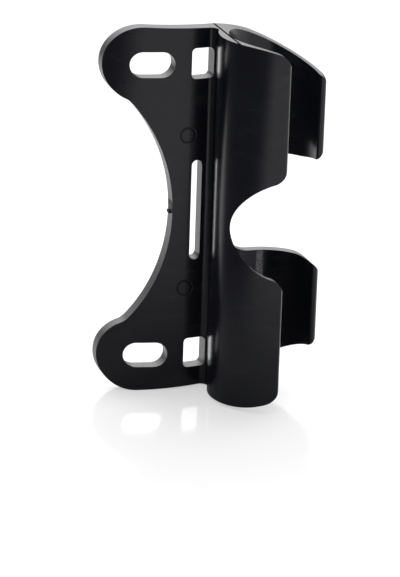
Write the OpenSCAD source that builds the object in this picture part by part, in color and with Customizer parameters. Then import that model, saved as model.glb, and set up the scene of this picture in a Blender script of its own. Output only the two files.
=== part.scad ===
/* [Screw plate] */
// Distance between the two screw slots, the standard bottle cage boss spacing
slot_spacing = 64; // [62:0.5:66]
// Width of each screw slot
slot_w = 5.5; // [5:0.1:6]
// End to end length of each screw slot
slot_l = 9.3; // [8:0.1:10]
// Outer radius of the plate's ears, centred on the near end of each slot
ear_r = 8.05; // [7.5:0.05:8.5]
// Radius of the concave waist between the two ears
waist_r = 36.3; // [32:0.1:42]
// Width of plate left between the waist and the line of the slots
waist_x = 4.9; // [3.5:0.1:5.5]
// Radius of the fillet where an ear runs into the waist
ear_fillet_r = 5; // [2:0.5:8]
// Thickness of the plate
plate_t = 2.95; // [2.5:0.05:3.5]
// Radius of the plate's curve in plan
plate_r = 36; // [33:1:42]
// Distance from the slot line to the crown of the plate's front
crown_x = 7.3; // [6.5:0.1:8.5]

/* [Openings in the plate] */
// Distance from the slot line to the near edge of the two windows
window_x = 8.25; // [7.8:0.05:8.5]
// Width of each window
window_w = 4.75; // [4:0.05:5]
// Height of each window
window_h = 6.6; // [5:0.1:7.5]
// Corner radius of each window
window_r = 0.95; // [0.6:0.05:1.4]
// Distance from the slot line to the near edge of the long slit
slit_x = 8.9; // [8.7:0.05:9.3]
// Width of the long slit
slit_w = 2.3; // [2:0.05:2.5]
// Length of the long slit
slit_l = 22; // [16:0.5:26]

/* [Pump clip] */
// Outer radius of the clip
clip_r = 11.8; // [11.4:0.1:12.2]
// Radius of the clip's bore, which grips the pump barrel
bore_r = 10; // [9.6:0.1:10.2]
// Distance from the slot line to the clip's axis
clip_x = 23.9; // [23.4:0.1:24.4]
// Distance of the clip's axis in front of the plate's back
clip_y = 10.6; // [10.2:0.1:11]
// Shift of the bore that thickens the root and thins the arms, along the plate
bore_dx = 0.2; // [0:0.05:0.3]
// Shift of the bore that thickens the back arm and thins the front arm
bore_dy = 0.35; // [0:0.05:0.4]
// Depth of the relief in the middle of the bore, so that the pump seats at the arms
relief_t = 0.1; // [0.05:0.05:0.3]
// Length of the relief along the bore
relief_l = 9; // [6:0.5:9.5]
// Angle at which the front arm ends, measured round the clip's axis
front_end = -96; // [-104:1:-90]
// Angle at which the back arm ends, measured round the clip's axis
back_end = 3; // [-2:1:10]
// Radius of the fillet between the plate and the clip
root_fillet_r = 1.5; // [0.8:0.1:2]

/* [Arms of the clip] */
// Radius of the sweep along the front arms' upper and lower edges
sweep_r = 28; // [26:0.5:32]
// Height of the clip's edges above the middle, at the root
clip_end = 39.5; // [38.5:0.1:40]
// Height of the back arms' edges above the middle, at the tips
back_tip = 29.3; // [27.5:0.1:31]
// Half of the gap between the two back arms
back_gap = 10.9; // [9.5:0.1:12]
// Radius of the foot of the gap between the back arms
back_gap_r = 6; // [3:0.5:8]
// Distance from the root of the clip to the foot of the back gap
back_foot = 5.4; // [5:0.1:6.5]
// Radius of the foot of the cut-out between the two front arms
front_gap_r = 10.9; // [10:0.1:11.5]
// Distance from the root of the clip to the foot of the front cut-out
front_foot = 1.35; // [1.2:0.05:2]
// Radius of the front arms' outer corners
front_corner_r = 4; // [2:0.25:5]
// Radius of the front arms' inner corners
front_inner_r = 4; // [3:0.25:4.5]
// Radius of the back arms' outer corners
back_corner_r = 2; // [1:0.25:3]
// Radius of the back arms' inner corners
back_inner_r = 4.1; // [3:0.1:4.8]

/* [Hidden] */
$fn = 96;
big = 60;
// Overlap at each tangent curve, so that the two surfaces cross cleanly
lap = 0.03;
slot_z = slot_spacing / 2;
ear_x = -(slot_l - slot_w) / 2;
plate_z = slot_z + ear_r;
cx = clip_x;
cy = -clip_y;
bx = cx + bore_dx;
by = cy - bore_dy;
// Centres of the plate's front and back curves
front_y = -plate_t - (plate_r - sqrt(pow(plate_r, 2) - pow(crown_x, 2))) + plate_r;
back_x = crown_x - 0.8;
back_y = sqrt(pow(plate_r, 2) - pow(back_x, 2));
// Mean thickness and middle radius at each arm's end
function bore_edge(a) = bore_dx * cos(a) - bore_dy * sin(a)
    + sqrt(pow(bore_r, 2) - pow(bore_dx * sin(a) + bore_dy * cos(a), 2));
function tip_t(a) = clip_r - bore_edge(a);
function tip_m(a) = (clip_r + bore_edge(a)) / 2;
// Centre of a fillet circle that touches two circles
function meet(p, rp, q, rq, s) =
    let (d = norm(q - p), u = (q - p) / d, m = (d * d + rp * rp - rq * rq) / (2 * d))
    p + u * m + s * [-u.y, u.x] * sqrt(rp * rp - m * m);
root_x = clip_x - clip_r;
root_end = window_x + window_w + 0.3;
waist_c = [waist_x - waist_r, 0];
ear_c = [ear_x, slot_z];
// Centre of the fillet where an ear runs into the waist
ear_f = meet(ear_c, ear_r + ear_fillet_r - lap, waist_c, waist_r - ear_fillet_r + lap, 1);
// Root fillet: touches the plate's front curve and the clip's outside
root_f = meet([crown_x, front_y], plate_r + root_fillet_r - lap, [cx, cy],
    clip_r + root_fillet_r - lap, -1);
// Direction, round the clip's axis, in which the back arms' edges are straight
back_view = 70;
// Where the back arms' edges leave the sweep
leave_x = clip_x - 1.9;
// Height of the sweep, or of a circle that touches it inside, at a distance from the slot line
function sweep_z(x, r) = clip_end - sweep_r + sqrt(pow(sweep_r - r, 2) - pow(x - root_x, 2));

// Cutter that rounds a corner: the wedge between two directions, less the round
module round_off(c, r, a, b) {
    difference() {
        polygon([c, c + 4 * r * [cos(a), sin(a)], c + 6 * r * [cos((a + b) / 2), sin((a + b) / 2)],
            c + 4 * r * [cos(b), sin(b)]]);
        translate(c) circle(r = r, $fn = 64);
    }
}

// Front view of the upper half: the plate's end edge and the long arc that carries it on over the clip
module sweep_2d() {
    slope = (plate_z - clip_end) / (root_x - ear_x);
    polygon([[-30, 0], [-30, clip_end + slope * (root_x + 30)], [root_x, clip_end], [root_x, 0]]);
    intersection() {
        translate([root_x, 0]) square([sweep_r, plate_z]);
        union() {
            translate([root_x, clip_end - sweep_r]) circle(r = sweep_r, $fn = 180);
            square([big, clip_end - sweep_r]);
        }
    }
}

// Upper half of the ears and waist in the front view
module ear_side_2d() {
    translate(ear_c) circle(r = ear_r);
    difference() {
        polygon([
            [ear_x + 0.3, plate_z + 3], [ear_x + 0.3, slot_z],
            waist_c + (waist_r - 1) * (ear_c - waist_c) / norm(ear_c - waist_c),
            [waist_x - 1, 0], [clip_x - 2, 0], [clip_x - 2, plate_z + 3]
        ]);
        translate(waist_c) circle(r = waist_r, $fn = 240);
    }
    difference() {
        polygon([
            ear_c + (ear_r - 0.5) * (ear_f - ear_c) / norm(ear_f - ear_c), ear_f,
            waist_c + (waist_r + 0.5) * (ear_f - waist_c) / norm(ear_f - waist_c),
        ]);
        translate(ear_f) circle(r = ear_fillet_r);
    }
}

// Extrudes a front view through the part, along the direction of the screws
module through(y0, y1) {
    translate([0, y1, 0]) rotate([90, 0, 0]) linear_extrude(height = y1 - y0) children();
}

// Copies the upper half of a front view below the middle
module both_halves() {
    children();
    mirror([0, 1]) children();
}

module screw_slots() {
    for (s = [-1, 1]) {
        for (t = [-1, 1])
            translate([t * (slot_l - slot_w) / 2, 20, s * slot_z])
                rotate([90, 0, 0]) cylinder(r = slot_w / 2, h = 40);
        translate([-(slot_l - slot_w) / 2, -20, s * slot_z - slot_w / 2])
            cube([slot_l - slot_w, 40, slot_w]);
    }
}

module window_2d() {
    translate([window_x, slot_z - window_h / 2]) {
        translate([window_r, 0]) square([window_w - 2 * window_r, window_h]);
        translate([0, window_r]) square([window_w, window_h - 2 * window_r]);
        for (i = [window_r, window_w - window_r], j = [window_r, window_h - window_r])
            translate([i, j]) circle(r = window_r, $fn = 32);
    }
}

module slit_2d() {
    translate([slit_x, -(slit_l - slit_w) / 2]) square([slit_w, slit_l - slit_w]);
    for (s = [-1, 1])
        translate([slit_x + slit_w / 2, s * (slit_l - slit_w) / 2]) circle(d = slit_w, $fn = 32);
}

// Depth of the plate's back at a distance from the slot line
function back(x) = back_y - sqrt(pow(plate_r, 2) - pow(x - back_x, 2));

// Plan of the curved plate
module plate_2d() {
    difference() {
        translate([crown_x, front_y]) circle(r = plate_r, $fn = 240);
        translate([back_x, back_y]) circle(r = plate_r, $fn = 240);
        translate([root_end, -big]) square(2 * big);
    }
}

// Plan of the web and fillet that carry the clip on the plate
module root_2d() {
    d1 = ([crown_x, front_y] - root_f) / norm([crown_x, front_y] - root_f);
    d2 = ([cx, cy] - root_f) / norm([cx, cy] - root_f);
    sx = cx - 2.4;
    sy = cy + sqrt(pow(clip_r, 2) - pow(sx - cx, 2));
    difference() {
        polygon([
            root_f + (root_fillet_r + 1) * d1, root_f, root_f + (root_fillet_r + 1) * d2,
            [cx - 8.5, cy + 4], [sx, sy - 0.8], [sx, sy - lap],
            [root_end - 0.4, back(root_end - 0.4) - lap]
        ]);
        translate(root_f) circle(r = root_fillet_r, $fn = 64);
    }
}

// Plan of the clip's wall between two angles, with a round nose at one end
module wall_2d(a0, a1, tip) {
    intersection() {
        translate([cx, cy]) circle(r = clip_r, $fn = 180);
        union() {
            polygon(concat([[cx, cy]], [for (i = [0:8]) [cx, cy] + 1.3 * clip_r * [
                cos(a0 + (a1 - a0) * i / 8), sin(a0 + (a1 - a0) * i / 8)]]));
            translate([cx + tip_m(tip) * cos(tip), cy + tip_m(tip) * sin(tip)])
                circle(r = tip_t(tip) / 2 + lap, $fn = 48);
        }
    }
}

module column() {
    linear_extrude(height = 2 * plate_z + 2, center = true) children();
}

// Front view of an upper front arm: swept edge, round corners and an S-shaped cut-out
module front_arm_2d() {
    tip_x = cx + tip_m(front_end) * cos(front_end) + tip_t(front_end) / 2 + 2 * lap;
    // outer corner, tangent to the sweep and to the tip
    kx = tip_x - front_corner_r;
    kz = sweep_z(kx, front_corner_r);
    // foot of the cut-out, and the inner corner tangent to it and to the tip
    gx = root_x + front_foot + front_gap_r;
    jx = tip_x - front_inner_r;
    jz = sqrt(pow(front_gap_r + front_inner_r - lap, 2) - pow(gx - jx, 2));
    difference() {
        sweep_2d();
        round_off([kx, kz], front_corner_r, 0, atan2(kz - clip_end + sweep_r, kx - root_x));
        translate([gx, 0]) circle(r = front_gap_r, $fn = 128);
        difference() {
            polygon([[gx, -1], [gx, 0], [jx, jz], [tip_x + 9, jz], [tip_x + 9, -1]]);
            translate([jx, jz]) circle(r = front_inner_r, $fn = 64);
        }
    }
}

// View of an upper back arm square to the direction at back_view: a straight edge with a round corner
module back_arm_2d() {
    tip_u = tip_m(back_end) * sin(back_view - back_end) + tip_t(back_end) / 2 + 2 * lap;
    // where the edge leaves the sweep
    lu = clip_r * sin(back_view - acos((leave_x - cx) / clip_r));
    lz = sweep_z(leave_x, 0) - lap;
    slope = (lz - back_tip) / (tip_u - lu);
    kz = back_tip + back_corner_r * (slope - sqrt(1 + slope * slope)) + lap;
    far = clip_r + 6;
    difference() {
        polygon([[-far, 0], [-far, lz + slope * (lu + far)], [tip_u, back_tip], [tip_u, 0]]);
        round_off([tip_u - back_corner_r, kz], back_corner_r, 0, 90 - atan(slope));
    }
}

// Front view of half the gap between the back arms, with a round foot and round corners
module back_gap_2d() {
    fx = root_x + back_foot;
    round_off([cx + clip_r + 0.3 - back_inner_r, back_gap + back_inner_r - lap], back_inner_r, -90, 0);
    difference() {
        translate([fx, -1]) square([big, back_gap + 1]);
        translate([fx + back_gap_r, back_gap - back_gap_r]) difference() {
            translate([-big, 0]) square(big);
            circle(r = back_gap_r);
        }
    }
}

// What the back arms' straight edges leave of the clip and of the web behind it
module back_edges() {
    translate([cx, cy, 0]) rotate([0, 0, back_view - 90])
        through(-30, 30) both_halves() back_arm_2d();
}

module plate() {
    difference() {
        intersection() {
            union() {
                column() plate_2d();
                intersection() {
                    column() root_2d();
                    back_edges();
                }
            }
            through(-30, 30) both_halves() intersection() {
                ear_side_2d();
                sweep_2d();
            }
        }
        through(cy + 4.4, 30) both_halves() window_2d();
        through(-30, 30) slit_2d();
        screw_slots();
    }
}

module front_arms() {
    intersection() {
        column() wall_2d(front_end, -190, front_end);
        through(-40, 20) both_halves() front_arm_2d();
    }
}

module back_arms() {
    intersection() {
        column() wall_2d(back_end, 172, back_end);
        through(-30, 30) both_halves() union() {
            sweep_2d();
            translate([leave_x, 0]) square([big, plate_z]);
        }
        back_edges();
    }
}

module pump_holder() {
    color([0.07, 0.07, 0.075])
        difference() {
            union() {
                plate();
                front_arms();
                back_arms();
            }
            through(cy - 4, 9) both_halves() back_gap_2d();
            translate([bx, by, -big]) cylinder(r = bore_r, h = 2 * big, $fn = 180);
            translate([bx, by, -relief_l / 2])
                cylinder(r = bore_r + relief_t, h = relief_l, $fn = 180);
        }
}

pump_holder();
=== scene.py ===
from math import radians

import bpy
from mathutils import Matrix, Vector


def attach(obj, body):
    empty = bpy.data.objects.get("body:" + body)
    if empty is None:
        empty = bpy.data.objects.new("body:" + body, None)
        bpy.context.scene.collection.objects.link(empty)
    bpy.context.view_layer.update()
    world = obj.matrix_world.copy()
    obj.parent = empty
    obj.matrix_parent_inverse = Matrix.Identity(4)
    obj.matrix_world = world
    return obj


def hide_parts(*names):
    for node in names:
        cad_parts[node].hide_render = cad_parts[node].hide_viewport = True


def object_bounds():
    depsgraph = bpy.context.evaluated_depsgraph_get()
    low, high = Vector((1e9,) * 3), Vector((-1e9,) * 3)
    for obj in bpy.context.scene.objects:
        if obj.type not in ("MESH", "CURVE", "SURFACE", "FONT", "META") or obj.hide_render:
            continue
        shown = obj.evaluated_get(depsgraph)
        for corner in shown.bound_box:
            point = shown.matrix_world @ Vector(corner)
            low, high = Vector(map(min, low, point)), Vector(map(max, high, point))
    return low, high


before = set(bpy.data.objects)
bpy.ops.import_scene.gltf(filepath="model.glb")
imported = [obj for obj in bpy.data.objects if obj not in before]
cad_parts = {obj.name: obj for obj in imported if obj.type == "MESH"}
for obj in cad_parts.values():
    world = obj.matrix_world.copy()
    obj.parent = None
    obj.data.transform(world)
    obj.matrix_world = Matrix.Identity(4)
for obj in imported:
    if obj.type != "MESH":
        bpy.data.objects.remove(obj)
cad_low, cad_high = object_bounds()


# Camera
# A long lens a little above the bracket and to its left, rolled slightly to
# the right, as the picture of the bracket was taken.
scene = bpy.context.scene
lens_mm = 199.05
camera_data = bpy.data.cameras.new("camera")
camera_data.lens = lens_mm
camera_data.sensor_width = 36.0
camera_data.clip_start = 0.05
camera_data.clip_end = 50.0
camera = bpy.data.objects.new("camera", camera_data)
scene.collection.objects.link(camera)
camera.location = (-0.195918, -0.608375, 0.209310)
camera.rotation_euler = (radians(70.4453), radians(-1.7336), radians(-18.3219))
scene.camera = camera
scene.view_settings.view_transform = "Standard"


# Moulded pump bracket
# One piece of glass-filled nylon, injection moulded in black: the curved
# plate, its ears and the open clip. Every arris is slightly rounded, as the
# mould's polished edges leave it.

class Value:
    """A shader socket that takes part in Python arithmetic."""

    def __init__(self, nodes, socket):
        self.nodes = nodes
        self.socket = socket

    def _math(self, operation, *others):
        node = self.nodes.tree.nodes.new("ShaderNodeMath")
        node.operation = operation
        for slot, other in zip(node.inputs, (self, *others)):
            self.nodes.feed(slot, other)
        return Value(self.nodes, node.outputs[0])

    def __add__(self, other):
        return self._math("ADD", other)

    def __sub__(self, other):
        return self._math("SUBTRACT", other)

    def __rsub__(self, other):
        return (self * -1.0) + other

    def __mul__(self, other):
        return self._math("MULTIPLY", other)

    def __pow__(self, other):
        return self._math("POWER", other)

    def __abs__(self):
        return self._math("ABSOLUTE")

    __radd__ = __add__
    __rmul__ = __mul__


class Finish:
    """The nodes of a material or of the world."""

    def __init__(self, owner):
        self.owner = owner
        owner.use_nodes = True
        self.tree = owner.node_tree
        self.tree.nodes.clear()

    def feed(self, slot, given):
        """Links a value to a socket, or sets the socket to a number or colour."""
        if isinstance(given, Value):
            self.tree.links.new(given.socket, slot)
        else:
            slot.default_value = given

    def node(self, kind, settings=None, out=0, **inputs):
        """Adds a node, with its settings first and then its sockets by name."""
        node = self.tree.nodes.new("ShaderNode" + kind)
        for key, value in (settings or {}).items():
            setattr(node, key, value)
        for key, value in inputs.items():
            slots = [slot for slot in node.inputs
                     if key in (slot.identifier.lower().replace(" ", "_"),
                                slot.name.lower().replace(" ", "_"))]
            slots = [slot for slot in slots if slot.enabled] or slots
            self.feed(slots[0], value)
        return Value(self, node.outputs[out]) if len(node.outputs) else None

    def blend(self, share, first, second):
        """One colour turning into another."""
        return self.node("Mix", {"data_type": "RGBA"}, out=2, factor_float=share,
                         a_color=(*first, 1) if isinstance(first, tuple) else first,
                         b_color=(*second, 1) if isinstance(second, tuple) else second)

    def fade(self, value, start, end, low=0.0, high=1.0):
        """A value's own range turned smoothly into another."""
        return self.node("MapRange", {"interpolation_type": "SMOOTHSTEP"}, value=value,
                         from_min=start, from_max=end, to_min=low, to_max=high)

    def band(self, value, middle, inner, outer):
        """One near the middle, fading out between an inner and an outer distance."""
        return self.fade(abs(value - middle), inner, outer, 1.0, 0.0)


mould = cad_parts["pump_holder"]
bracket = mould.copy()
bracket.data = mould.data.copy()
bracket.name = "bracket"
for key in list(bracket.keys()):
    if key.startswith("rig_"):
        del bracket[key]
bracket.parent = None
scene.collection.objects.link(bracket)
bpy.ops.object.select_all(action="DESELECT")
bracket.select_set(True)
bpy.context.view_layer.objects.active = bracket
bpy.ops.object.mode_set(mode="EDIT")
bpy.ops.mesh.select_all(action="SELECT")
merge_gap = 2e-6
flat_turn = radians(0.6)
bpy.ops.mesh.remove_doubles(threshold=merge_gap)
bpy.ops.mesh.dissolve_limited(angle_limit=flat_turn)
bpy.ops.object.mode_set(mode="OBJECT")
edge_round = 0.0002
soften = bracket.modifiers.new("soften", "BEVEL")
soften.limit_method = "ANGLE"
soften.angle_limit = radians(28)
soften.width = edge_round
soften.segments = 2
soften.profile = 0.5
bpy.ops.object.modifier_apply(modifier="soften")
bpy.ops.object.shade_smooth_by_angle(angle=radians(40))
even = bracket.modifiers.new("even", "WEIGHTED_NORMAL")
even.keep_sharp = True
bpy.ops.object.modifier_apply(modifier="even")

# the bracket's own directions, and where its cut faces and end faces lie: on
# the plate they turn away from the screws, and on the clip they face up or down
nylon = Finish(bpy.data.materials.new("black_nylon"))
place = nylon.node("TexCoord", out=3)
along = nylon.node("SeparateXYZ", vector=place, out=0)
across = Value(nylon, along.socket.node.outputs[1])
up = Value(nylon, along.socket.node.outputs[2])
facing = nylon.node("SeparateXYZ", vector=nylon.node("NewGeometry", out=1), out=1)
upward = Value(nylon, facing.socket.node.outputs[2])
front_face = nylon.fade(facing, -0.75, -0.35, 1.0, 0.0)
on_flank = nylon.fade(along, 0.0115, 0.0118) * nylon.fade(across, -0.0042, -0.0039, 1.0, 0.0)
on_plate = nylon.fade(along, 0.0132, 0.0138, 1.0, 0.0) * (1 - on_flank)
cut_face = (nylon.fade(abs(facing), 0.25, 0.45, 1.0, 0.0) * on_plate
            + nylon.fade(abs(upward), 0.55, 0.75) * (1 - on_plate))
on_top = nylon.fade(upward, 0.8, 0.95)

# the skin: a fine spark-eroded grain, rougher on the cut faces, with the
# cloudy look of glass-filled nylon and slight streaks where it flowed. The cut
# faces are painted a lighter speckled grey: the speckle is their rough grain, the lighter grey
# a painted sheen
grain = nylon.node("TexNoise", vector=place, scale=5200.0, detail=3.0)
speckle = nylon.node("TexNoise", vector=place, scale=2600.0, detail=4.0, roughness=0.7)
haze = nylon.node("TexNoise", vector=place, scale=90.0, detail=4.0)
streak_place = nylon.node("Mapping", vector=place, scale=(1.0, 1.0, 3.2), rotation=(0, 0.5, 0))
streaks = nylon.fade(nylon.node("TexNoise", vector=streak_place, scale=95.0, detail=5.0,
                                distortion=0.8), 0.50, 0.72) * front_face

# the marks: two ejector pins' rings on the plate, faint bumps with painted shade in
# their lines; a painted shade line in a small crease on the top faces where the plate
# meets the clip; a painted reflection, a pale grainy strip inside the lower back arm;
# and the rough patch that the gate tore beside its stub
pin_radius = 0.00155
pin_places = ((0.0079, 0.0166), (0.0081, -0.0172))
pin_ring_and_shade = None
for pin_x, pin_z in pin_places:
    reach = ((along - pin_x) ** 2 + (up - pin_z) ** 2) ** 0.5
    edge = nylon.band(reach, pin_radius, 0.00008, 0.00026)
    pin_ring_and_shade = edge if pin_ring_and_shade is None else pin_ring_and_shade + edge
pin_ring_and_shade = pin_ring_and_shade * front_face
# painted shade: a dark line in a small bumped crease on the top faces where the plate meets
# the clip
crease_shade_x = 0.01395
crease_shade = nylon.band(along, crease_shade_x, 0.00015, 0.00028) * on_top
# painted reflection: a pale grainy strip inside the lower back arm stands in for a reflection
# on its glossy inner face
reflection_strip_x, reflection_strip_z = 0.0257, -0.0140
painted_reflection_strip = (nylon.band(along, reflection_strip_x, 0.0005, 0.0009)
               * nylon.band(up, reflection_strip_z, 0.0027, 0.0034)
               * nylon.fade(across, -0.004, -0.003) * front_face)
painted_reflection = painted_reflection_strip * nylon.fade(grain, 0.40, 0.56)
tear_z = 0.0011
tear = (nylon.band(up, tear_z, 0.0008, 0.0014) * cut_face
        * nylon.fade(along, 0.0056, 0.0060, 1.0, 0.0) * nylon.fade(speckle, 0.44, 0.54))

deep_black, cloudy_black = (0.0072, 0.0080, 0.0118), (0.0108, 0.0118, 0.0165)
streak_grey, cut_face_sheen_grey = (0.030, 0.031, 0.034), (0.080, 0.080, 0.083)
painted_reflection_grey = (0.40, 0.40, 0.40)
body = nylon.blend(haze, deep_black, cloudy_black)
body = nylon.blend(streaks * 0.35, body, streak_grey)
# painted sheen: the cut faces are painted a lighter grey for the light that they catch, broken
# by their own rough speckle
body = nylon.blend(cut_face * nylon.fade(speckle, 0.35, 0.70, 0.35, 1.0), body, cut_face_sheen_grey)
# painted reflection: the strip inside the lower back arm is painted pale grey
body = nylon.blend(painted_reflection, body, painted_reflection_grey)
body = nylon.blend(tear, body, (0.002, 0.002, 0.002))
# painted shade: the pin rings and the crease line are darkened here, and below they are mixed
# into a matte black that reflects nothing
body = nylon.blend(pin_ring_and_shade * 0.6, body, (0.002, 0.002, 0.003))
body = nylon.blend(crease_shade * 0.9, body, (0.0, 0.0, 0.0))
height = grain * 0.25 + speckle * cut_face * 1.1 - pin_ring_and_shade * 7.0 - crease_shade * 6.0 - tear * 6.0
bumps = nylon.node("Bump", height=height, distance=0.00001, strength=0.6)
gloss = haze * 0.08 + 0.18 + cut_face * 0.16 + (crease_shade + tear) * 0.4 + painted_reflection * 0.2
skin = nylon.node("BsdfPrincipled", base_color=body, roughness=gloss, normal=bumps)
skin.socket.node.inputs["IOR"].default_value = 1.5
# a matte black without reflection: painted shade in the crease line and in the pin rings
painted_shade_line = nylon.node("BsdfPrincipled", base_color=(0.001, 0.001, 0.001, 1), roughness=0.9)
painted_shade_line.socket.node.inputs["Specular IOR Level"].default_value = 0.0
nylon.node("OutputMaterial", surface=nylon.node("MixShader", fac=crease_shade + pin_ring_and_shade * 0.35,
                                                shader=skin, shader_001=painted_shade_line))
bracket.data.materials.clear()
bracket.data.materials.append(nylon.owner)
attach(bracket, "root")
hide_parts("pump_holder")


# Gate stub
# The torn stub of nylon that the mould's gate leaves in the middle of the
# plate's waist, twisted off flush and left rough. It is one with the plate.
gate_place = (0.00495, -0.00205, -0.0003)
bpy.ops.object.select_all(action="DESELECT")
bpy.ops.mesh.primitive_cylinder_add(vertices=10, radius=0.00045, depth=0.0011,
                                    location=gate_place, rotation=(0, radians(90), 0))
stub = bpy.context.object
stub.name = "gate_stub"
bpy.ops.object.transform_apply(location=True, rotation=True, scale=True)
bpy.ops.object.mode_set(mode="EDIT")
bpy.ops.mesh.select_all(action="SELECT")
bpy.ops.mesh.bevel(offset=0.00012, segments=2, affect="EDGES")
bpy.ops.mesh.select_all(action="SELECT")
bpy.ops.mesh.subdivide(number_cuts=1)
bpy.ops.transform.resize(value=(1.0, 2.3, 0.75), center_override=gate_place)
bpy.ops.transform.vertex_random(offset=0.00009, uniform=0.6, normal=0.2, seed=4)
bpy.ops.mesh.normals_make_consistent(inside=False)
bpy.ops.object.mode_set(mode="OBJECT")
torn = Finish(bpy.data.materials.new("torn_nylon"))
flecks = torn.node("TexNoise", vector=torn.node("TexCoord", out=3), scale=3000.0, detail=3.0)
torn_black = torn.blend(flecks, (0.002, 0.002, 0.002), (0.012, 0.012, 0.013))
torn_skin = torn.node("BsdfPrincipled", base_color=torn_black, roughness=flecks * 0.3 + 0.5)
torn.node("OutputMaterial", surface=torn_skin)
stub.data.materials.append(torn.owner)
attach(stub, "root")


# Floor and light
# A glossy white table top, which the bracket stands on by its lower edges.
# Two softboxes and a bright studio wall light it from above and behind. What
# the black nylon mirrors of the table is painted shade: grey in front, dark on
# the left and far off.
bpy.ops.object.select_all(action="DESELECT")
bpy.ops.mesh.primitive_plane_add(size=24.0, location=(0, 0, cad_low.z))
floor = bpy.context.object
floor.name = "floor"
table = Finish(bpy.data.materials.new("white_table"))
seen = table.node("LightPath", out=0)
depth = table.node("SeparateXYZ", vector=table.node("TexCoord", out=3), out=1)
aside = Value(table, depth.socket.node.outputs[0])
table_white = (0.97, 0.97, 0.97)
# painted shade for all but camera rays: the table that the bracket mirrors and takes bounced
# light from is grey in front, dark on the left and far off, and white behind
behind = table.fade(depth + aside * 0.7, -0.012, 0.022)
ahead = table.fade(depth, -0.02, -0.17)
left = table.fade(aside - depth * 0.2, -0.012, -0.08)
far = table.fade(depth, 0.25, 0.60)
shade = table.blend(ahead, (0.26, 0.26, 0.28), (0.68, 0.68, 0.72))
shade = table.blend(left, shade, (0.05, 0.05, 0.06))
shade = table.blend(behind, shade, table_white)
shade = table.blend(far, shade, (0.10, 0.10, 0.10))
top = table.node("BsdfPrincipled", base_color=table.blend(seen, shade, table_white))
top.socket.node.inputs["Roughness"].default_value = 0.10
plain_white = table.node("Emission", color=(1, 1, 1, 1), strength=1.0)
distance = (aside ** 2 + depth ** 2) ** 0.5
lifted = table.node("MixShader", fac=seen * table.fade(distance, 0.25, 0.9, 0.52, 1.0),
                    shader=top, shader_001=plain_white)
table.node("OutputMaterial", surface=lifted)
floor.data.materials.append(table.owner)

studio = bpy.data.worlds.new("studio")
scene.world = studio
room = Finish(studio)
heading = room.node("TexCoord", out=0)
toward = room.node("VectorMath", {"operation": "DOT_PRODUCT"}, out=1, vector=heading,
                   vector_001=(0.325, 0.946, 0.0))
overhead = room.node("SeparateXYZ", vector=heading, out=2)
glow = (room.fade(toward, 0.0, 0.95) * room.fade(overhead, 0.02, 0.33) * 2.3 + 0.15
        + room.fade(overhead, 0.3, 1.0) * 0.8)
seen_room = room.node("LightPath", out=0)
level = glow * (1 - seen_room) + seen_room
room.node("OutputWorld", surface=room.node("Background", color=(1, 1, 1, 1), strength=level))


def softbox(name, size, spot, watts):
    """A rectangular lamp that points at the bracket."""
    lamp = bpy.data.lights.new(name, "AREA")
    lamp.shape = "RECTANGLE"
    lamp.size, lamp.size_y = size
    lamp.energy = watts
    item = bpy.data.objects.new(name, lamp)
    scene.collection.objects.link(item)
    item.location = spot
    item.rotation_euler = (-Vector(spot)).to_track_quat("-Z", "Y").to_euler()


softbox("top_softbox", (1.4, 1.0), (0.0, 0.35, 1.1), 6.0)
softbox("rear_softbox", (2.4, 1.1), (0.72, 2.1, 1.15), 3.0)
